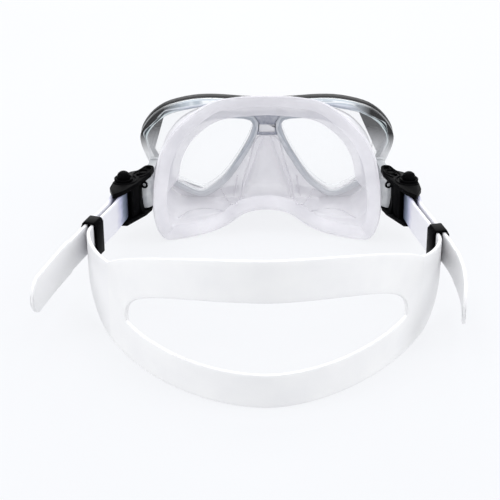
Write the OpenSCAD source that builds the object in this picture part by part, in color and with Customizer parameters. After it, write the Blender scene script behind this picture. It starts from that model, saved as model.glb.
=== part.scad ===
// Two-lens diving mask with side buckles and a split head strap.
// Millimetres. +X is the wearer's right, +Y is the way the lenses look, +Z is up.
// The origin is on the floor under the nose pocket, in the plane where the skirt meets the frame.

/* [Frame] */
// Width of the frame
frame_w = 172; // [155:1:206]
// Height of the frame
frame_h = 77.6; // [72:0.1:90]
// Depth of the face plate's front edge ahead of the skirt plane
frame_front = 9; // [8:0.5:12]
// How far the outer ring reaches back past the skirt plane
ring_back = 5; // [3:0.5:6]
// Width of the outer ring
ring_w = 5; // [4:0.5:6]
// Thickness of the face plate
plate_t = 3.5; // [2.5:0.5:4]
// Thickness of the black brow trims
trim_t = 2; // [1:0.25:3]
// How far the brow trims reach back from the face plate's front edge
trim_d = 8; // [5:0.5:9]

/* [Lenses] */
// Width of each lens opening
lens_w = 54.2; // [45:0.5:57]
// Height of each lens opening
lens_h = 53.4; // [44:0.5:56]
// Gap between the two lens openings
lens_gap = 22.4; // [20:0.2:26]
// Height of the lens openings above the floor
lens_base = 10.6; // [10:0.1:13]
// Thickness of the glass
lens_t = 2.9; // [2.5:0.1:3.2]
// How far the glass reaches past the opening
lens_lap = 2.5; // [2:0.1:3]
// Width of the rims that hold the lenses in
rim_w = 4; // [3:0.5:5]
// Depth of the rims
rim_t = 3; // [2:0.5:4]

/* [Skirt] */
// Width of the skirt where it meets the frame
skirt_w = 144; // [130:1:146]
// Width of the skirt at the face
seal_w = 149; // [135:1:156]
// Height of the skirt at the face
seal_h = 98; // [85:1:110]
// Depth of the skirt at the brow
skirt_depth = 50; // [42:1:60]
// How much further back the skirt reaches at the temples
temple_sweep = 16; // [10:1:20]
// Thickness of the skirt wall
skirt_wall = 2; // [1.5:0.1:2.5]
// Thickness of the flange between the frame and the rims
flange_t = 2.5; // [2:0.1:3]
// Width of the lip that turns in against the face
lip_w = 9; // [6:0.5:12]
// Thickness of that lip
lip_t = 1.6; // [1:0.1:2]
// Width of the nose pocket
nose_w = 37; // [32:0.5:38]
// Height of the nose pocket
nose_h = 52; // [46:0.5:54]
// How far the nose pocket stands in front of the skirt plane
nose_depth = 15; // [12:0.5:20]

/* [Buckles] */
// Distance of each buckle pivot from the middle of the mask
pivot_x = 81.5; // [78:0.5:98]
// Distance of the pivots behind the skirt plane
pivot_back = 42; // [36:0.5:50]
// Height of the buckles' middle above the floor
buckle_z = 27.75; // [26:0.25:33]
// Resting splay of the left buckle
yaw_left = 18; // [8:0.5:22]
// Resting splay of the right buckle
yaw_right = 13.5; // [8:0.5:22]
// Thickness of the top and bottom plates of a buckle
cheek_t = 3; // [2.5:0.25:3.5]
// Radius of the pivot pins
pin_r = 1.5; // [1.2:0.1:1.8]
// Radius of the knuckle that the buckle's ears clasp
knuckle_r = 6.5; // [5:0.25:7]
// Radius of the rollers
roller_r = 2; // [1.6:0.1:2.4]
// Radius of the push buttons
button_r = 4.2; // [3.5:0.1:5]
// Travel of the push buttons
button_travel = 1.6; // [1:0.1:1.8]

/* [Strap] */
// Width of the strap ends
strap_w = 20; // [16:0.5:24]
// Thickness of the strap
strap_t = 2.2; // [1.8:0.1:2.4]
// Height of the head band at the back
band_h = 88; // [75:1:95]
// Width across the head band
band_span = 222; // [215:1:250]
// Depth of the head band's curve
band_depth = 165; // [140:1:200]
// Half width of the opening in the head band
slot_half = 79; // [60:1:84]
// Distance from a pivot to the middle of the left keeper
keeper_left_u = 75; // [66:1:84]
// Distance from a pivot to the middle of the right keeper
keeper_right_u = 84.7; // [66:0.1:86]
// Length of the loose tails past the keepers
tail_len = 84; // [60:1:100]
// Height of the grip at the end of each tail
grip_h = 22; // [20:0.5:28]
// Length of the keepers along the strap
keeper_len = 11; // [8:0.5:14]

/* [Hidden] */
$fn = 48;

clear = 0.3;          // between curved faces that move past each other
run = 0.05;           // running clearance of a shaft in its bore
eps = 0.01;           // keeps cuts from ending on a face
curve_steps = 3;      // points added between control points
hull_fn = 32;

// outlines, as shares of their own width and height
frame_shape = [
    [0, 0.97], [0.2, 0.983], [0.41, 1], [0.585, 0.991], [0.765, 0.943], [0.87, 0.878], [0.942, 0.798],
    [0.99, 0.71], [1, 0.64], [0.975, 0.53], [0.9, 0.347], [0.79, 0.156], [0.66, 0.026], [0.525, 0],
    [0.4, 0.03], [0.28, 0.06], [0.14, 0.08], [0, 0.08]
];
lens_shape = [
    [0, 0.97], [0.31, 1], [0.59, 0.945], [0.8, 0.79], [0.93, 0.555], [1, 0.225], [0.865, 0.1],
    [0.65, 0], [0.5, 0.055], [0.32, 0.225], [0.135, 0.515], [0, 0.79]
];
nose_shape = [
    [0, 1], [0.243, 0.96], [0.47, 0.75], [0.735, 0.48], [0.973, 0.23], [1, 0.1], [0.8, 0.03], [0, 0.02]
];
// each row pairs a point of the flange's edge with a point of the face seal
flange_h = 73;
skirt_shape = [
    [[0, 0.99], [0, 1]],
    [[0.28, 1], [0.315, 0.992]],
    [[0.55, 0.98], [0.53, 0.951]],
    [[0.775, 0.89], [0.79, 0.798]],
    [[0.93, 0.72], [0.922, 0.637]],
    [[1, 0.53], [0.97, 0.5]],
    [[1, 0.33], [1, 0.288]],
    [[0.94, 0.16], [0.982, 0.14]],
    [[0.87, 0.085], [0.925, 0.035]],
    [[0.76, 0.045], [0.83, 0.002]],
    [[0.58, 0.035], [0.561, 0.015]],
    [[0.39, 0.03], [0.362, 0.065]],
    [[0.17, 0.027], [0.196, 0.15]],
    [[0, 0.027], [0, 0.178]]
];

plate_back = frame_front - plate_t;
lens_x = lens_gap / 2;
seat_w = 2.8;                 // wall around each lens pocket
band_mid = 30;                // height of the band's outline where it meets its ends
band_a = band_span / 2 - strap_t / 2;
band_y = -102.6;              // where the band's curve would be widest
band_right_n = 1.75;          // roundness of the band's curve on the right
band_left_n = 1.88;           // and on the left, where it bulges more
cut_angle = 34;               // where the band meets its ends
cut_gap = 0.6;                // half the gap there, in degrees
slot_mid = 26.3;              // height of the slot's widest line
slot_up = 37;                 // and how far it reaches above
slot_down = 6;                // and below that line

cheek_gap = strap_w + 1.5;    // clear height between a buckle's plates
cheek_in = cheek_gap / 2;
cheek_out = cheek_in + cheek_t;
wrap_r = roller_r + clear + strap_t / 2;
mid_v = 3.85;                 // plane midway between the two strap layers
layer_v = strap_t / 2 + 1.05; // from that plane to the middle of a layer
roller_u = 24;
roller_v = 6.7;
converge_u = 46;              // from here back the layers run parallel
wall_t = 1.7;
front_wall_u = 11;            // rear face of the wall behind the knuckle
button_u = 16.2;
button_v = 7.3;
well_depth = 2;
eye_u = -7.6;                 // the eye at the tip of each top plate
eye_r = 1.6;
bar_top = 6;                  // top of a lock bar above the buckle's middle
bar_u = roller_u - wrap_r - strap_t / 2 - clear - 3.6;
roller_axle_r = 1.1;
pin_head_r = 2.5;
screw_x = 76.5 - frame_w / 2; // bracket screws, from the frame's edge
boss_h = 18;
shoulder = 22;                // from a keeper to the grip on its tail

// ---- curves ----
function mirrored(p) = [for (i = [len(p) - 1:-1:0]) if (p[i][0] > eps) [-p[i][0], p[i][1]]];
function whole(p) = concat(p, mirrored(p));
function sized(p, w, h) = [for (q = p) [q[0] * w, q[1] * h]];
function between(a, b, s) = a + (b - a) * s;
function ease(s) = s * s * (3 - 2 * s);
function curve_at(a, b, c, d, s) =
    0.5 * (2 * b + (c - a) * s + (2 * a - 5 * b + 4 * c - d) * s * s + (3 * b - a - 3 * c + d) * s * s * s);
function smooth_loop(p) = [
    for (i = [0:len(p) - 1], k = [0:curve_steps - 1])
        let (n = len(p))
        curve_at(p[(i + n - 1) % n], p[i], p[(i + 1) % n], p[(i + 2) % n], k / curve_steps)
];
function unit(v) = v / norm(v);
function inward_at(p, i) =
    let (n = len(p), d = unit(p[(i + 1) % n] - p[(i + n - 1) % n]))
    [d[1], -d[0]];

frame_loop = smooth_loop(whole(sized(frame_shape, frame_w / 2, frame_h)));
lens_loop = smooth_loop([for (q = lens_shape) [lens_x + q[0] * lens_w, lens_base + q[1] * lens_h]]);
nose_loop = smooth_loop(whole(sized(nose_shape, nose_w / 2, nose_h)));
flange_loop = smooth_loop(whole([for (q = skirt_shape) [q[0][0] * skirt_w / 2, q[0][1] * flange_h]]));
seal_loop = smooth_loop(whole([for (q = skirt_shape) [q[1][0] * seal_w / 2, q[1][1] * seal_h]]));

// ---- helpers ----
module on_side(side) {
    if (side > 0) {
        children();
    } else {
        mirror([1, 0, 0]) children();
    }
}
module across(y0, y1) {
    translate([0, y1, 0]) rotate([90, 0, 0]) linear_extrude(y1 - y0) children();
}
module lens_outline(grow) {
    offset(delta = grow) polygon(lens_loop);
}
module at_pivot(yaw) {
    translate([pivot_x, -pivot_back, 0]) rotate([0, 0, yaw]) children();
}
// places a child at u behind the pivot, v outboard of it and z above the floor
module at_uv(u, v, z = 0) {
    translate([v, -u, z]) children();
}
module uv_box(u0, u1, v0, v1, z0, z1) {
    translate([v0, -u1, z0]) cube([v1 - v0, u1 - u0, z1 - z0]);
}
module uv_plate(points, z0, z1) {
    translate([0, 0, z0]) linear_extrude(z1 - z0) polygon([for (q = points) [q[1], -q[0]]]);
}

// ---- skirt ----
function seal_y(x) = -skirt_depth - temple_sweep * pow(abs(x) / (seal_w / 2), 2);
// the wall's section: share of the depth, distance inwards, and a step forwards
skirt_section = [
    [0, 0, flange_t], [0.33, 0, 0], [0.66, 0, 0], [0.95, 0, 0], [1, 1.5, 0], [1, lip_w, 3],
    [1, lip_w, 3 + lip_t], [0.95, skirt_wall, 0], [0.66, skirt_wall, 0], [0.33, skirt_wall, 0],
    [0, skirt_wall, flange_t]
];
function skirt_point(i, s) =
    let (
        p = between(flange_loop[i], seal_loop[i], s[0]),
        n = unit(between(inward_at(flange_loop, i), inward_at(seal_loop, i), s[0])),
        q = p + n * s[1]
    )
    [q[0], s[0] * seal_y(seal_loop[i][0]) + s[2], q[1]];
function skirt_outline(share) = [
    for (i = [0:len(flange_loop) - 1]) between(flange_loop[i], seal_loop[i], share)
];
module skirt_wall_solid() {
    rows = len(flange_loop);
    cols = len(skirt_section);
    polyhedron(
        points = [for (i = [0:rows - 1], s = skirt_section) skirt_point(i, s)],
        faces = [
            for (i = [0:rows - 1], k = [0:cols - 1])
                let (j = (i + 1) % rows, m = (k + 1) % cols)
                each [
                    [i * cols + k, j * cols + k, j * cols + m],
                    [i * cols + k, j * cols + m, i * cols + m]
                ]
        ]
    );
}
module nose_form(grow, back) {
    tip_r = 6 + grow;
    hull() {
        across(back, flange_t) offset(delta = grow) polygon(nose_loop);
        for (s = [-1, 1]) {
            translate([s * nose_w * 0.19, nose_depth - 6, nose_h * 0.25]) sphere(tip_r, $fn = hull_fn);
        }
    }
}
module skirt() {
    color([0.9, 0.9, 0.94, 0.7])
    union() {
        skirt_wall_solid();
        difference() {
            across(0, flange_t) offset(delta = -0.4) polygon(flange_loop);
            for (s = [-1, 1]) {
                on_side(s) across(-1, flange_t + 1) lens_outline(0);
            }
            nose_form(-skirt_wall, -1);
        }
        // pad under the nose that the mask rests on
        translate([-8, -1, 0]) cube([16, flange_t + 1, 2.4]);
    }
}
module nose_pocket() {
    color([0.9, 0.9, 0.94, 0.7])
    intersection() {
        difference() {
            nose_form(0, 0);
            for (s = [-1, 1]) {
                on_side(s) across(-1, flange_t + 1) lens_outline(0);
            }
            nose_form(-skirt_wall, -1);
        }
        translate([-nose_w, flange_t, -5]) cube([2 * nose_w, 2 * nose_depth, nose_h + 10]);
    }
}

// ---- frame ----
module brow_zone() {
    polygon([
        [frame_w * 0.103, frame_h * 1.1], [frame_w * 0.103, frame_h * 0.7], [frame_w * 0.36, frame_h * 0.585],
        [frame_w * 0.6, frame_h * 0.585], [frame_w * 0.6, frame_h * 1.1]
    ]);
}
module brow_strip() {
    intersection() {
        difference() {
            polygon(frame_loop);
            offset(delta = -trim_t) polygon(frame_loop);
        }
        brow_zone();
    }
}
module frame() {
    color([0.82, 0.86, 0.9, 0.5])
    difference() {
        union() {
            across(plate_back, frame_front) polygon(frame_loop);
            across(-ring_back, frame_front) difference() {
                polygon(frame_loop);
                offset(delta = -ring_w) polygon(frame_loop);
                offset(delta = 0.6) polygon(flange_loop);
            }
            for (s = [-1, 1]) {
                on_side(s) {
                    across(flange_t, frame_front) intersection() {
                        lens_outline(lens_lap + seat_w);
                        polygon(frame_loop);
                    }
                    translate([frame_w / 2 + screw_x - 3, -ring_back, buckle_z - boss_h / 2])
                        cube([6, ring_back + frame_front, boss_h]);
                }
            }
        }
        for (s = [-1, 1]) {
            on_side(s) {
                across(-ring_back - 1, frame_front + 1) lens_outline(0);
                across(-ring_back - 1, plate_back) lens_outline(lens_lap + 0.15);
                across(frame_front - trim_d, frame_front + 1) brow_strip();
                for (z = [-5, 5]) {
                    translate([frame_w / 2 + screw_x, 3, buckle_z + z]) rotate([90, 0, 0]) cylinder(r = 1, h = 20);
                }
            }
        }
        across(-ring_back - 1, frame_front + 1) {
            offset(delta = 0.6) polygon(nose_loop);
            translate([-nose_w / 2 - 0.6, -1]) square([nose_w + 1.2, nose_h * 0.12 + 1]);
        }
        // room for the skirt, which widens towards the face
        across(-ring_back - 1, flange_t) offset(delta = 0.6) polygon(skirt_outline((ring_back + 1) / skirt_depth));
    }
}
module brow_trim(side) {
    color([0.05, 0.05, 0.06])
    on_side(side) across(frame_front - trim_d, frame_front) brow_strip();
}

// ---- lenses, their rims and the bridge clip ----
module lens(side) {
    color([0.75, 0.85, 0.88, 0.35])
    on_side(side) across(plate_back - lens_t, plate_back) lens_outline(lens_lap);
}
module lens_rim(side) {
    color([0.55, 0.58, 0.62])
    on_side(side) across(-rim_t, 0) difference() {
        lens_outline(rim_w);
        lens_outline(0);
    }
}
module bridge_clip() {
    inner = lens_x - rim_w - 0.2;
    top = lens_base + lens_h + 5;
    color([0.6, 0.62, 0.68])
    across(-rim_t, 0) difference() {
        polygon([
            [-lens_x - 2, top], [lens_x + 2, top], [lens_x + 2, lens_base + lens_h + 2],
            [inner, lens_base + lens_h - 1], [inner, nose_h], [-inner, nose_h],
            [-inner, lens_base + lens_h - 1], [-lens_x - 2, lens_base + lens_h + 2]
        ]);
        for (s = [-1, 1]) {
            on_side(s) lens_outline(rim_w + 0.1);
        }
        translate([-5.3, nose_h + 1.5]) square([10.6, 6]);
    }
}

// ---- brackets ----
module bracket(side) {
    foot = frame_w / 2 + screw_x - 3;
    arm_half = 7.75;
    knuckle_half = cheek_in - clear;
    color([0.85, 0.87, 0.9, 0.6])
    on_side(side) difference() {
        union() {
            translate([foot, -ring_back - 3, buckle_z - boss_h / 2]) cube([6, 3, boss_h]);
            translate([0, 0, buckle_z - arm_half]) linear_extrude(2 * arm_half)
                polygon([
                    [foot + 1, -ring_back - 2], [foot + 6, -ring_back - 2],
                    [pivot_x + 3, -pivot_back + 2], [pivot_x - 3.5, -pivot_back]
                ]);
            translate([pivot_x, -pivot_back, buckle_z - knuckle_half]) rotate_extrude()
                polygon([
                    [0, 0], [knuckle_r - 2, 0], [knuckle_r - 0.6, 0.8], [knuckle_r, 2.5],
                    [knuckle_r, 2 * knuckle_half - 2.5], [knuckle_r - 0.6, 2 * knuckle_half - 0.8],
                    [knuckle_r - 2, 2 * knuckle_half], [0, 2 * knuckle_half]
                ]);
        }
        translate([pivot_x, -pivot_back, 0]) cylinder(r = pin_r + run, h = 60);
        for (z = [-5, 5]) {
            translate([foot + 3, 0, buckle_z + z]) rotate([90, 0, 0]) cylinder(r = 1.1, h = ring_back + 4);
            translate([foot + 3, -ring_back - 2.2, buckle_z + z]) rotate([90, 0, 0]) cylinder(r = 2.2, h = 8);
        }
    }
}
module bracket_screws() {
    color([0.7, 0.7, 0.72])
    for (s = [-1, 1], z = [-5, 5]) {
        on_side(s) translate([frame_w / 2 + screw_x, 0, buckle_z + z]) rotate([90, 0, 0]) {
            translate([0, 0, -2]) cylinder(r = 1, h = ring_back + 2 + 2.2);
            translate([0, 0, ring_back + 2.2]) cylinder(r = 1.9, h = 1.3);
        }
    }
}

// ---- buckles ----
module pivot_pin(side, yaw) {
    color([0.3, 0.3, 0.32])
    on_side(side) at_pivot(yaw) {
        translate([0, 0, buckle_z - cheek_out]) cylinder(r = pin_r, h = 2 * cheek_out - 0.3);
        translate([0, 0, buckle_z + cheek_out - 1.1]) cylinder(r = pin_head_r, h = 0.8);
    }
}
module buckle(side, yaw) {
    top = buckle_z + cheek_out;
    base = buckle_z - cheek_out;
    wrap_in = roller_v - wrap_r - strap_t / 2 - clear;
    color([0.06, 0.06, 0.07])
    on_side(side) at_pivot(yaw) difference() {
        union() {
            // top plate with its eye, ear and thumb boss
            uv_plate([
                [-1, -4.9], [8, -4.4], [20, -2.6], [33, 0.4], [40.5, 4.6], [31, 10.8], [22, 12.4], [11, 12],
                [2, 8], [-1, 4.9]
            ], buckle_z + cheek_in, top);
            uv_plate([[eye_u, -4.1], [0, -5], [0, 5], [eye_u, 3.1]], buckle_z + cheek_in, top);
            at_uv(eye_u, -0.5, buckle_z + cheek_in) cylinder(r = 3.6, h = cheek_t);
            at_uv(0, 0, buckle_z + cheek_in) cylinder(r = 5, h = cheek_t);
            at_uv(button_u, button_v, buckle_z + cheek_in) cylinder(r = button_r + 1.9, h = cheek_t + 1);
            // bottom plate
            uv_plate([
                [-1, -4.9], [8, -4.4], [18, -1.6], [27.5, 1.2], [28.5, 5], [25, 10], [11, 11], [2, 8], [-1, 4.9]
            ], base, buckle_z - cheek_in);
            at_uv(0, 0, base) cylinder(r = 5, h = cheek_t);
            // wall behind the knuckle, and the wall beside the strap
            uv_plate([[4, -1.8], [front_wall_u, -1.8], [front_wall_u, 10.5], [4, 9]], base + 1, top - 1);
            uv_plate([
                [8, -1.8], [14, -1.4], [20.5, wrap_in - wall_t], [20.5, wrap_in], [8, wrap_in - 1]
            ], base + 1, top - 1);
        }
        // room for the knuckle to turn in
        translate([0, 0, buckle_z - cheek_in]) cylinder(r = knuckle_r + 1.5, h = cheek_gap);
        translate([0, 0, base - 1]) cylinder(r = pin_r + 0.02, h = 2 * cheek_out + 2);
        translate([0, 0, top - 1.2]) cylinder(r = pin_head_r + 0.15, h = 2);
        at_uv(eye_u, -0.5, buckle_z + cheek_in - 1) cylinder(r = eye_r, h = cheek_t + 2);
        at_uv(roller_u, roller_v, buckle_z - cheek_in - 2) cylinder(r = roller_axle_r + run, h = cheek_gap + 4);
        at_uv(button_u, button_v, top - well_depth) cylinder(r = button_r + 0.2, h = 10);
        at_uv(button_u, button_v, buckle_z) cylinder(r = 1.1 + 0.15, h = 30);
    }
}
module roller(side, yaw) {
    color([0.55, 0.55, 0.57])
    on_side(side) at_pivot(yaw) {
        at_uv(roller_u, roller_v, buckle_z - cheek_in + 0.2) cylinder(r = roller_r, h = cheek_gap - 0.4);
        at_uv(roller_u, roller_v, buckle_z - cheek_in - 1.8) cylinder(r = roller_axle_r, h = cheek_gap + 3.6);
    }
}
module button(side, yaw) {
    base = buckle_z + cheek_out - 0.2;
    color([0.09, 0.09, 0.1])
    on_side(side) at_pivot(yaw) at_uv(button_u, button_v) {
        difference() {
            translate([0, 0, base]) rotate_extrude()
                polygon([
                    [0, 0], [button_r, 0], [button_r, 3.4], [button_r - 0.7, 4.8], [button_r - 2, 5.8], [0, 6.2]
                ]);
            difference() {
                translate([0, 0, base - 1]) cylinder(r = button_r - 1, h = 3);
                cylinder(r = 1.1, h = 80);
            }
        }
        translate([0, 0, buckle_z + bar_top + clear + button_travel])
            cylinder(r = 1.1, h = base + 2 - buckle_z - bar_top - clear - button_travel);
    }
}
function coil_point(s, turns, r, h, a, wire) =
    let (t = 360 * turns * s)
    [cos(t) * (r + wire * cos(a)), sin(t) * (r + wire * cos(a)), wire + (h - 2 * wire) * s + wire * sin(a)];
module coil(turns, r, h, wire) {
    rings = turns * 14;
    sides = 6;
    polyhedron(
        points = [
            for (i = [0:rings], k = [0:sides - 1]) coil_point(i / rings, turns, r, h, 360 * k / sides, wire)
        ],
        faces = concat(
            [[for (k = [0:sides - 1]) k]],
            [[for (k = [sides - 1:-1:0]) rings * sides + k]],
            [
                for (i = [0:rings - 1], k = [0:sides - 1])
                    let (m = (k + 1) % sides)
                    each [
                        [i * sides + k, (i + 1) * sides + k, (i + 1) * sides + m],
                        [i * sides + k, (i + 1) * sides + m, i * sides + m]
                    ]
            ]
        )
    );
}
module button_spring(side, yaw) {
    floor_z = buckle_z + cheek_out - well_depth;
    color([0.8, 0.8, 0.82])
    on_side(side) at_pivot(yaw) at_uv(button_u, button_v, floor_z) coil(3, 2.1, well_depth + 1.8, 0.3);
}
module lock_bar(side, yaw) {
    low = buckle_z - cheek_in + 0.3;
    high = buckle_z + bar_top;
    rear = bar_u + 3;
    color([0.25, 0.25, 0.27])
    on_side(side) at_pivot(yaw) {
        uv_box(bar_u, rear, 3.6, 10.4, low, high);
        for (v = [5:2:9]) {
            uv_plate([[rear - 0.1, v - 0.9], [rear + 0.6, v], [rear - 0.1, v + 0.9]], low, high);
        }
    }
}

// ---- keepers ----
module keeper_section() {
    half = strap_w / 2 + clear;
    side_t = 1.8;
    bar = 1.5;
    in_v = mid_v - layer_v - strap_t / 2 - clear;
    out_v = mid_v + layer_v + strap_t / 2 + clear;
    tooth = layer_v - strap_t / 2 - clear;
    difference() {
        polygon([
            [in_v - side_t, -half - bar], [in_v - side_t, half - 1], [in_v, half + bar], [out_v, half + bar],
            [out_v + side_t, half - 2], [out_v + side_t, -half - bar]
        ]);
        translate([in_v, -half]) square([mid_v - tooth - in_v, 2 * half]);
        translate([mid_v + tooth, -half]) square([out_v - mid_v - tooth, 2 * half]);
        // the outer side stops short, so that the tail can be tucked in from below
        translate([mid_v + tooth, -half - 2 * bar]) square([10, half + 2 * bar + 1]);
    }
}
module keeper(side, yaw, keeper_u) {
    color([0.08, 0.08, 0.09])
    on_side(side) at_pivot(yaw) translate([0, -keeper_u + keeper_len / 2, buckle_z])
        rotate([90, 0, 0]) linear_extrude(keeper_len) keeper_section();
}

// ---- strap ----
// plan point for u behind the pivot and v outboard of it
function plan(u, v, yaw) = [
    pivot_x + v * cos(yaw) + u * sin(yaw),
    -pivot_back + v * sin(yaw) - u * cos(yaw)
];
function band_n(t) = cos(t) < 0 ? band_left_n : band_right_n;
function band_plan(t) = [
    sign(cos(t)) * band_a * pow(abs(cos(t)), 2 / band_n(t)),
    band_y - band_depth * pow(abs(sin(t)), 2 / band_n(t))
];
function band_top(t) = 20 + (band_h - 20) * sqrt(max(0, 1 - pow(band_plan(t)[0] / (0.9 * band_span / 2), 2)));
function bezier(a, b, c, d, s) =
    pow(1 - s, 3) * a + 3 * pow(1 - s, 2) * s * b + 3 * (1 - s) * s * s * c + pow(s, 3) * d;
function side_step(path, i) =
    let (n = len(path), d = unit(path[min(i + 1, n - 1)] - path[max(i - 1, 0)]))
    [-d[1], d[0]];
// a ribbon of one thickness that follows rows of [x, y, bottom, top]
module ribbon(rows, thick) {
    path = [for (r = rows) [r[0], r[1]]];
    last = len(rows) - 1;
    polyhedron(
        points = [
            for (i = [0:last])
                let (n = side_step(path, i) * thick / 2, p = path[i])
                each [
                    [p[0] - n[0], p[1] - n[1], rows[i][2]], [p[0] + n[0], p[1] + n[1], rows[i][2]],
                    [p[0] + n[0], p[1] + n[1], rows[i][3]], [p[0] - n[0], p[1] - n[1], rows[i][3]]
                ]
        ],
        faces = concat(
            [[0, 1, 2, 3]],
            [[for (k = [3:-1:0]) 4 * last + k]],
            [
                for (i = [0:last - 1], k = [0:3])
                    let (m = (k + 1) % 4)
                    each [
                        [4 * i + k, 4 * i + 4 + k, 4 * i + 4 + m],
                        [4 * i + k, 4 * i + 4 + m, 4 * i + m]
                    ]
            ]
        )
    );
}
module head_strap() {
    start = cut_angle + cut_gap;
    steps = 64;
    slot = concat(
        [for (a = [0:10:180]) [slot_half * cos(a), slot_mid + slot_up * sin(a)]],
        [for (a = [10:10:170]) [-slot_half * cos(a), slot_mid - slot_down * pow(sin(a), 0.25)]]
    );
    color([0.93, 0.93, 0.93])
    difference() {
        ribbon([
            for (k = [0:steps])
                let (t = start + (180 - 2 * start) * k / steps, p = band_plan(t))
                [p[0], p[1], 0, band_top(t)]
        ], strap_t);
        across(band_y - band_depth - 20, band_y - 20) polygon(slot);
    }
}
function tail_plan(start, yaw, bend, s) =
    let (r = tail_len / (bend * PI / 180), a = yaw - bend * s)
    start + r * [cos(a) - cos(yaw), sin(a) - sin(yaw)] * [[1, 0], [0, 1]];
function tail_half(s) =
    let (
        d = s * tail_len,
        grown = between(strap_w / 2, grip_h / 2, ease(min(1, max(0, (d - shoulder) / 4)))),
        left = max(0, (tail_len - d) / (grip_h / 2))
    )
    grown * (left < 1 ? sqrt(1 - pow(1 - left, 2)) + eps : 1);
module strap_end(side, yaw, keeper_u, bend) {
    low = buckle_z - strap_w / 2;
    high = buckle_z + strap_w / 2;
    cut = cut_angle - cut_gap;
    leave = keeper_u + keeper_len / 2 + 1;
    p0 = plan(leave, mid_v - layer_v, yaw);
    p1 = band_plan(cut);
    d0 = [sin(yaw), -cos(yaw)];
    d1 = unit(band_plan(cut + 1) - p1);
    reach = norm(p1 - p0) / 3;
    back = [
        for (k = [0:12])
            let (s = k / 12, q = bezier(p1, p1 - d1 * reach * 1.3, p0 + d0 * reach * 0.4, p0, s))
            [q[0], q[1], between(0, low, ease(s)), between(band_top(cut), high, ease(s))]
    ];
    wrap = [
        for (a = [0:15:180])
            let (q = plan(roller_u - wrap_r * sin(a), roller_v - wrap_r * cos(a), yaw))
            [q[0], q[1], low, high]
    ];
    inner = plan(converge_u, mid_v - layer_v, yaw);
    outer = plan(converge_u, mid_v + layer_v, yaw);
    tail_start = plan(leave, mid_v + layer_v, yaw);
    tail = [
        for (k = [0:32])
            let (s = k / 32, q = tail_plan(tail_start, yaw, bend, s), h = tail_half(s))
            [q[0], q[1], buckle_z - h, buckle_z + h]
    ];
    color([0.9, 0.9, 0.92])
    on_side(side) ribbon(concat(
        back, [[inner[0], inner[1], low, high]], wrap, [[outer[0], outer[1], low, high]], tail
    ), strap_t);
}

skirt();
nose_pocket();
frame();
lens(-1);  // lens_left
lens(1);  // lens_right
lens_rim(-1);  // lens_rim_left
lens_rim(1);  // lens_rim_right
bridge_clip();
brow_trim(-1);  // brow_trim_left
brow_trim(1);  // brow_trim_right
bracket(-1);  // bracket_left
bracket(1);  // bracket_right
bracket_screws();
pivot_pin(-1, yaw_left);  // pivot_pin_left
pivot_pin(1, yaw_right);  // pivot_pin_right
buckle(-1, yaw_left);  // buckle_left
buckle(1, yaw_right);  // buckle_right
roller(-1, yaw_left);  // roller_left
roller(1, yaw_right);  // roller_right
button(-1, yaw_left);  // button_left
button(1, yaw_right);  // button_right
button_spring(-1, yaw_left);  // button_spring_left
button_spring(1, yaw_right);  // button_spring_right
lock_bar(-1, yaw_left);  // lock_bar_left
lock_bar(1, yaw_right);  // lock_bar_right
keeper(-1, yaw_left, keeper_left_u);  // keeper_left
keeper(1, yaw_right, keeper_right_u);  // keeper_right
head_strap();
strap_end(-1, yaw_left, keeper_left_u, 6);  // strap_end_left
strap_end(1, yaw_right, keeper_right_u, 24);  // strap_end_right
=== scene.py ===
import math
import bpy
import bmesh
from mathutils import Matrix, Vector


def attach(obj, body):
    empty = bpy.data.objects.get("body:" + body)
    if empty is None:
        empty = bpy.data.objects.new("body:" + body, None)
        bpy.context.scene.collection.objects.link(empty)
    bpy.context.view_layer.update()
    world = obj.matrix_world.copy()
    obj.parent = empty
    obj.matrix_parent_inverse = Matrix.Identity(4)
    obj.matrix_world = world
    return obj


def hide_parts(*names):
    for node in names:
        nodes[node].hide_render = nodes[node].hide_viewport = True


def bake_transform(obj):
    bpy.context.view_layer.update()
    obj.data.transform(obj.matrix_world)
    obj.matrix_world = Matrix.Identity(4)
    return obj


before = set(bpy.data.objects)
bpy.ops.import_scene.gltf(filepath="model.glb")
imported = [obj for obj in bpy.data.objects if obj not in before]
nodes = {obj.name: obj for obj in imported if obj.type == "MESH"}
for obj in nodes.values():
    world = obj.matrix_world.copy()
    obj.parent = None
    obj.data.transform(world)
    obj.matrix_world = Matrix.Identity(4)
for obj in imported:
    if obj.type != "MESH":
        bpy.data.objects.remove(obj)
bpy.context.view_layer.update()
mm = 0.001
sides = {"left": -1, "right": 1}


# small helpers

def deselectAll():
    if bpy.context.object and bpy.context.object.mode != "OBJECT":
        bpy.ops.object.mode_set(mode="OBJECT")
    bpy.ops.object.select_all(action="DESELECT")


def pick(obj):
    deselectAll()
    obj.select_set(True)
    bpy.context.view_layer.objects.active = obj


def linear(code):
    parts = [int(code[i:i + 2], 16) / 255 for i in (1, 3, 5)]
    return [c / 12.92 if c <= 0.04045 else ((c + 0.055) / 1.055) ** 2.4 for c in parts] + [1.0]


def addNode(tree, kind, settings=None, links=None):
    # settings: property or socket values; links: socket -> (node, output)
    node = tree.nodes.new(kind)
    for key, value in (settings or {}).items():
        if isinstance(key, str) and key in node.bl_rna.properties:
            setattr(node, key, value)
        else:
            node.inputs[key].default_value = value
    for key, (source, output) in (links or {}).items():
        tree.links.new(source.outputs[output], node.inputs[key])
    return node


def newMaterial(name):
    material = bpy.data.materials.new(name)
    material.use_nodes = True
    tree = material.node_tree
    tree.nodes.clear()
    return material, tree


def closeMaterial(tree, shader):
    addNode(tree, "ShaderNodeOutputMaterial", None, {"Surface": (shader, 0)})


def stops(node, points):
    ramp = node.color_ramp
    for i, (place, code) in enumerate(points):
        stop = ramp.elements[i] if i < 2 else ramp.elements.new(place)
        stop.position = place
        stop.color = linear(code) if isinstance(code, str) else [code, code, code, 1]
    return node


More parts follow.
